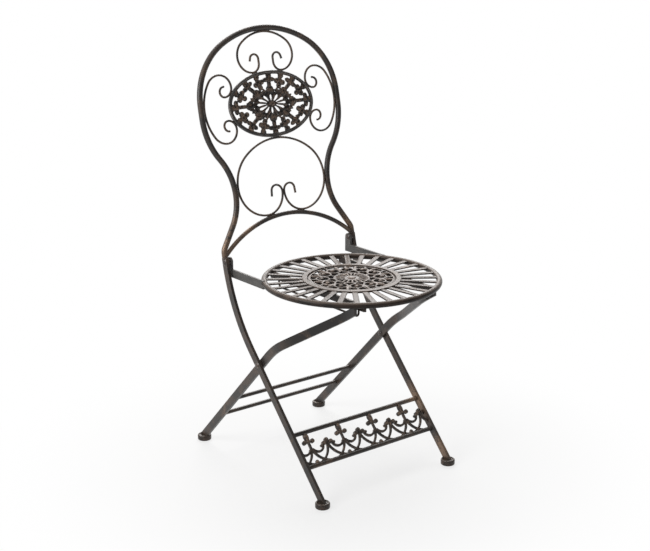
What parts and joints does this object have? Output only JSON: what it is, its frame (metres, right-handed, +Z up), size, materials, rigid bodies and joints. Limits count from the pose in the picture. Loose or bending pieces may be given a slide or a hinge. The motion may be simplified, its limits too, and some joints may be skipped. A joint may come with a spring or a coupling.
{
  "type": "folding garden chair",
  "caption": "Folding metal garden chair with a scrolled hoop back, round slatted seat with an openwork medallion, and scissor legs with a cast fleur strip.",
  "frame": {"origin": "on the floor, at the centre of the bounding box's footprint", "axes": "+Z up, the chair faces -Y, +X is the sitter's left"},
  "size_m": [0.392, 0.5458, 0.9572],
  "materials": {
    "frame_paint": "dark bronze brushed-on paint, satin, with copper-brown rubbed highlights",
    "seat_paint": "dark bronze paint, satin, worn warm grey on the upper faces",
    "cast_ornament": "cast metal under dark bronze paint, copper-brown on the raised edges",
    "rivet_paint": "painted rivet heads and washers, satin",
    "foot_paint": "dark brown glossy glides"
  },
  "bodies": {
    "back_frame": {"back_hoop": "frame_paint", "back_arch": "frame_paint", "back_oval_ring": "frame_paint", "back_rosette": "cast_ornament", "top_scroll": "frame_paint", "lower_scroll": "frame_paint", "side_scroll_left": "frame_paint", "side_scroll_right": "frame_paint", "leg_pivot_rivets": "rivet_paint", "seat_hinge_rivets": "rivet_paint", "leg_pivot_washers": "rivet_paint", "seat_hinge_spacers": "rivet_paint", "front_leg_left": "frame_paint", "front_leg_right": "frame_paint", "panel_bottom_rail": "frame_paint", "panel_top_rail": "frame_paint", "fleur_panel": "cast_ornament", "front_foot_left": "foot_paint", "front_foot_right": "foot_paint"},
    "rear_legs": {"rear_leg_left": "frame_paint", "rear_leg_right": "frame_paint", "rear_cross_rod_upper": "frame_paint", "rear_cross_rod_lower": "frame_paint", "slide_pin_left": "frame_paint", "slide_pin_right": "frame_paint", "rear_foot_left": "foot_paint", "rear_foot_right": "foot_paint"},
    "seat": {"seat_ring": "seat_paint", "seat_inner_ring": "seat_paint", "seat_slats": "seat_paint", "seat_medallion": "cast_ornament", "seat_rail_left": "seat_paint", "seat_rail_right": "seat_paint", "seat_guide_left": "seat_paint", "seat_guide_right": "seat_paint", "seat_bracket_left": "seat_paint", "seat_bracket_right": "seat_paint"}
  },
  "joints": [
    {"name": "seat_fold", "type": "hinge", "parent": "back_frame", "child": "seat", "pos_m": [0, 0.13986, 0.461], "axis": [-1, 0, 0], "range_deg": [0, 88]},
    {"name": "rear_leg_fold", "type": "hinge", "parent": "back_frame", "child": "rear_legs", "pos_m": [0, 0.021, 0.254], "axis": [-1, 0, 0], "range_deg": [0, 70]}
  ],
  "couplings": [
    {"joint": "rear_leg_fold", "follows": "seat_fold", "ratio": 0.7932}
  ]
}
